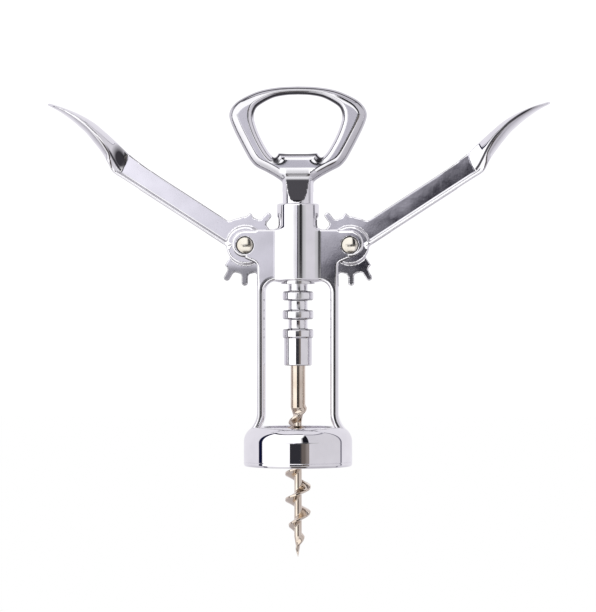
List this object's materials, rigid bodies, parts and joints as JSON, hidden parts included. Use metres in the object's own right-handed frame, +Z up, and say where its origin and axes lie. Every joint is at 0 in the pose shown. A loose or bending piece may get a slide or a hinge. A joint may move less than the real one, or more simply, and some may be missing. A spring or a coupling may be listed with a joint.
{
  "type": "lever corkscrew",
  "caption": "Two-lever corkscrew: bell on a slim frame, geared wings that lift a ringed rack, worm, and a loop handle with a cap lifter.",
  "frame": {"origin": "middle of the bottle stop, the ring inside the bell that rests on the bottle's lip", "axes": "+Z up along the worm's axis, +X towards the right-hand lever, front faces -Y"},
  "size_m": [0.1686, 0.036, 0.1567],
  "materials": {
    "frame_chrome": "bright chrome plate on a die casting",
    "lever_chrome": "bright chrome plate with a slight casting ripple",
    "spindle_chrome": "bright chrome plate on turned steel",
    "worm_nickel": "warm nickel plate",
    "pin_nickel": "satin pale nickel",
    "bush_steel": "satin steel"
  },
  "bodies": {
    "frame_body": {"frame": "frame_chrome", "bell": "frame_chrome", "lower_guide_bush": "bush_steel", "left_pivot_pin": "pin_nickel", "right_pivot_pin": "pin_nickel"},
    "rack_body": {"rack_spindle": "spindle_chrome"},
    "screw_body": {"handle": "frame_chrome", "worm": "worm_nickel"},
    "left_lever_body": {"left_lever": "lever_chrome"},
    "right_lever_body": {"right_lever": "lever_chrome"}
  },
  "joints": [
    {"name": "rack_slide", "type": "slide", "parent": "frame_body", "child": "rack_body", "axis": [0, 0, 1], "range_m": [-0.0063, 0.026]},
    {"name": "screw_turn", "type": "hinge", "parent": "rack_body", "child": "screw_body", "pos_m": [0, 0, 0.08], "axis": [0, 0, 1], "continuous": true},
    {"name": "left_lever_pivot", "type": "hinge", "parent": "frame_body", "child": "left_lever_body", "pos_m": [-0.01745, 0, 0.06649], "axis": [0, 1, 0], "range_deg": [-119.6, 29.3]},
    {"name": "right_lever_pivot", "type": "hinge", "parent": "frame_body", "child": "right_lever_body", "pos_m": [0.01745, 0, 0.06649], "axis": [0, 1, 0], "range_deg": [-29.3, 119.6]}
  ],
  "couplings": [
    {"joint": "left_lever_pivot", "follows": "rack_slide", "rad_per_m": -80},
    {"joint": "right_lever_pivot", "follows": "rack_slide", "rad_per_m": 80}
  ]
}
